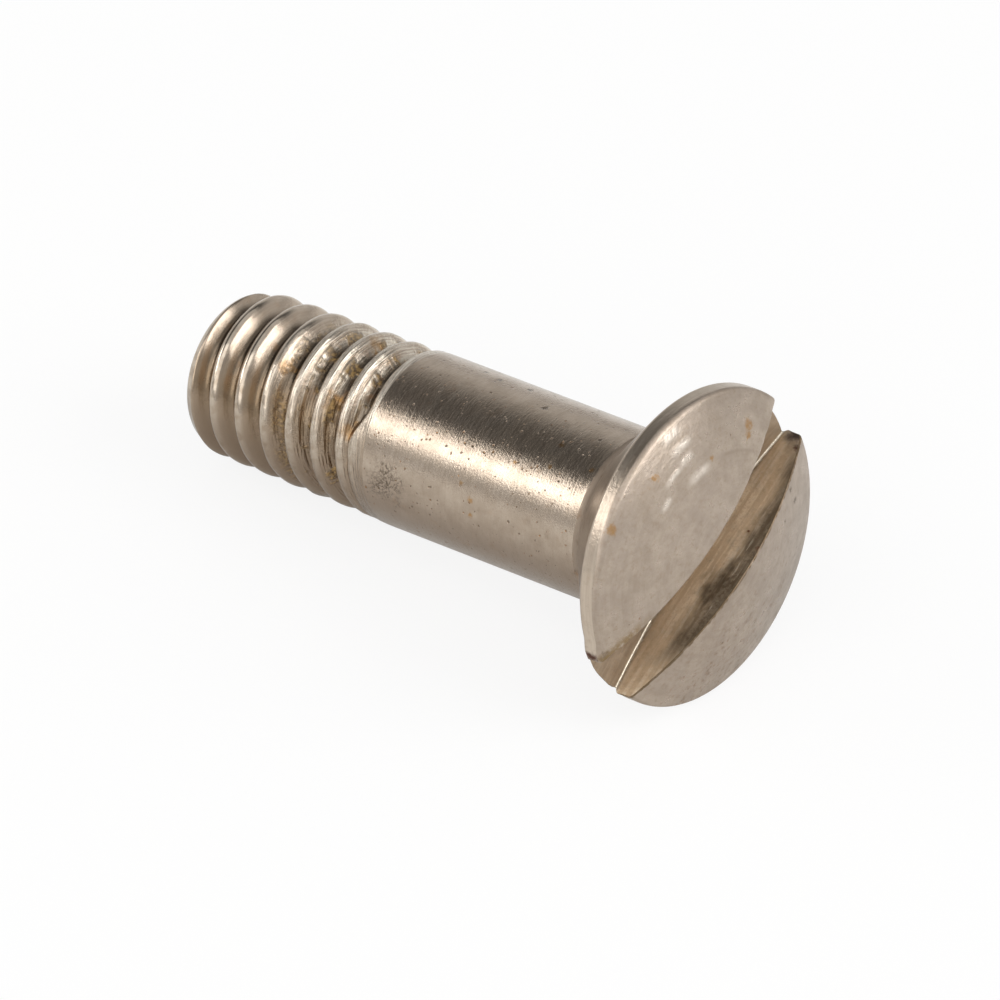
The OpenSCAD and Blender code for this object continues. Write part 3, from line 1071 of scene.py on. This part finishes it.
def makeTable():
    half = tableLook["halfWidth"]
    data = bpy.data.meshes.new("paleTable")
    data.from_pydata([(-half, -half, 0), (half, -half, 0), (half, half, 0), (-half, half, 0)], [], [(0, 1, 2, 3)])
    table = bpy.data.objects.new("pale_table", data)
    bpy.context.scene.collection.objects.link(table)
    table.location.z = cadBox[0].z - 0.00002
    material = bpy.data.materials.new("paleTable")
    material.use_nodes = True
    tree = material.node_tree
    shader = tree.nodes["Principled BSDF"]
    shader.inputs["Base Color"].default_value = (*tableLook["colour"], 1)
    shader.inputs["Roughness"].default_value = 0.9
    shader.inputs["Specular IOR Level"].default_value = 0.1
    glow = addNode(tree, "ShaderNodeEmission")
    glow.inputs["Strength"].default_value = 1.0
    rays = addNode(tree, "ShaderNodeLightPath")
    inMetal = most(tree, rays.outputs["Is Glossy Ray"], rays.outputs["Is Transmission Ray"])
    inMetal = mul(tree, inMetal, tableLook["whiteInMetal"])
    seen = most(tree, mul(tree, rays.outputs["Is Camera Ray"], tableLook["whiteSeen"]), inMetal)
    both = addNode(tree, "ShaderNodeMixShader")
    wire(tree, seen, both.inputs[0])
    wire(tree, shader.outputs[0], both.inputs[1])
    wire(tree, glow.outputs[0], both.inputs[2])
    wire(tree, both.outputs[0], tree.nodes["Material Output"].inputs["Surface"])
    data.materials.append(material)


makeTable()

lightSet = {
    # name: direction it comes from, distance, width, height, watts (metres)
    "sideSoftbox": ((-0.66, -0.57, 0.455), 0.5, 0.34, 0.14, 0.46),
    "frontSoftbox": ((0.15, -0.75, 0.65), 0.55, 0.6, 0.6, 1.45),
    "ceilingSoftbox": ((0.2, 0.05, 1.0), 0.62, 0.85, 0.85, 1.35),
    "rightSoftbox": ((0.8, 0.27, 0.56), 0.5, 0.34, 0.34, 1.15),
}
roomTone = [  # sine of the height, grey
    (0.0, 0.6), (0.1, 0.6), (0.24, 0.74), (0.32, 0.74), (0.5, 0.53), (0.61, 0.26), (0.68, 0.1), (1.0, 0.1),
]


def makeLight():
    for name, (toward, distance, width, height, watts) in lightSet.items():
        lamp = bpy.data.lights.new(name, "AREA")
        lamp.shape = "RECTANGLE"
        lamp.size, lamp.size_y = width, height
        lamp.energy = watts
        holder = bpy.data.objects.new(name, lamp)
        bpy.context.scene.collection.objects.link(holder)
        direction = Vector(toward).normalized()
        holder.location = direction * distance
        holder.rotation_euler = direction.to_track_quat("Z", "Y").to_euler()
    world = bpy.data.worlds.new("room")
    bpy.context.scene.world = world
    world.use_nodes = True
    tree = world.node_tree
    where = addNode(tree, "ShaderNodeTexCoord")
    parts = addNode(tree, "ShaderNodeSeparateXYZ")
    wire(tree, where.outputs["Generated"], parts.inputs[0])
    ramp = addNode(tree, "ShaderNodeValToRGB")
    stops = ramp.color_ramp.elements
    stops[0].position, stops[0].color = roomTone[0][0], (*[roomTone[0][1]] * 3, 1)
    stops[1].position, stops[1].color = roomTone[-1][0], (*[roomTone[-1][1]] * 3, 1)
    for position, grey in roomTone[1:-1]:
        stops.new(position).color = (grey, grey, grey, 1)
    wire(tree, parts.outputs[2], ramp.inputs[0])
    wire(tree, ramp.outputs[0], tree.nodes["Background"].inputs["Color"])
    tree.nodes["Background"].inputs["Strength"].default_value = 1.0


makeLight()

cameraView = {  # degrees and metres; the rim's centre sits this far right of and below the picture's centre
    "azimuth": 40.6,
    "elevation": 37.7,
    "lens": 433.8,
    "distance": 0.36402,
    "rimRight": 0.0061455,
    "rimDown": 0.001449,
}


def makeCamera():
    a, e = math.radians(cameraView["azimuth"]), math.radians(cameraView["elevation"])
    right = Vector((math.cos(a), math.sin(a), 0))
    up = Vector((-math.sin(a) * math.sin(e), math.cos(a) * math.sin(e), math.cos(e)))
    back = Vector((math.sin(a) * math.cos(e), -math.cos(a) * math.cos(e), math.sin(e)))
    data = bpy.data.cameras.new("photoCamera")
    data.sensor_width = 36.0
    data.lens = cameraView["lens"]
    data.clip_start, data.clip_end = 0.01, 3.0
    camera = bpy.data.objects.new("photoCamera", data)
    bpy.context.scene.collection.objects.link(camera)
    rim = Vector((layDown["along"], 0, layDown["lift"])) / 1000
    place = rim - right * cameraView["rimRight"] + up * cameraView["rimDown"] + back * cameraView["distance"]
    camera.matrix_world = Matrix.Translation(place) @ Matrix((right, up, back)).transposed().to_4x4()
    bpy.context.scene.camera = camera


makeCamera()
bpy.context.scene.view_settings.view_transform = "Standard"
print("table, light and camera are set")
